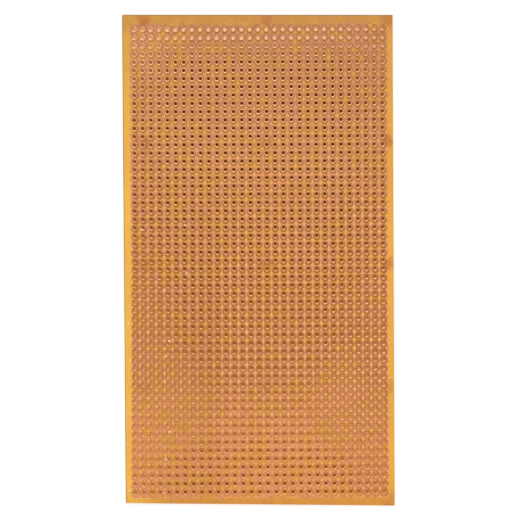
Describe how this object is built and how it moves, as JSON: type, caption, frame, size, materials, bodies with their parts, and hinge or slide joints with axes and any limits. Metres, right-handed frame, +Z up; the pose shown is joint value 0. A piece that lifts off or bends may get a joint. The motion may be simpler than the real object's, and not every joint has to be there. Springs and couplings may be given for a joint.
{
  "type": "prototype board",
  "caption": "Flat phenolic paper prototyping panel, punched on a 2.54 mm grid, with a separate round copper solder pad around each hole.",
  "frame": {"origin": "middle of the outline, on the plain underside that the panel rests on", "axes": "+Z up, out of the copper side; +Y up the columns, along the length; +X along the rows, from column 1"},
  "size_m": [0.083, 0.1512, 0.0016],
  "materials": {
    "phenolic_paper": "smooth ochre phenolic resin, slightly translucent, with paper mottling",
    "copper": null
  },
  "bodies": {
    "root": {"laminate": "phenolic_paper", "pad_row_01": "copper", "pad_row_02": "copper", "pad_row_03": "copper", "pad_row_04": "copper", "pad_row_05": "copper", "pad_row_06": "copper", "pad_row_07": "copper", "pad_row_08": "copper", "pad_row_09": "copper", "pad_row_10": "copper", "pad_row_11": "copper", "pad_row_12": "copper", "pad_row_13": "copper", "pad_row_14": "copper", "pad_row_15": "copper", "pad_row_16": "copper", "pad_row_17": "copper", "pad_row_18": "copper", "pad_row_19": "copper", "pad_row_20": "copper", "pad_row_21": "copper", "pad_row_22": "copper", "pad_row_23": "copper", "pad_row_24": "copper", "pad_row_25": "copper", "pad_row_26": "copper", "pad_row_27": "copper", "pad_row_28": "copper", "pad_row_29": "copper", "pad_row_30": "copper", "pad_row_31": "copper", "pad_row_32": "copper", "pad_row_33": "copper", "pad_row_34": "copper", "pad_row_35": "copper", "pad_row_36": "copper", "pad_row_37": "copper", "pad_row_38": "copper", "pad_row_39": "copper", "pad_row_40": "copper", "pad_row_41": "copper", "pad_row_42": "copper", "pad_row_43": "copper", "pad_row_44": "copper", "pad_row_45": "copper", "pad_row_46": "copper", "pad_row_47": "copper", "pad_row_48": "copper", "pad_row_49": "copper", "pad_row_50": "copper", "pad_row_51": "copper", "pad_row_52": "copper", "pad_row_53": "copper", "pad_row_54": "copper", "pad_row_55": "copper", "pad_row_56": "copper", "pad_row_57": "copper"}
  },
  "joints": []
}
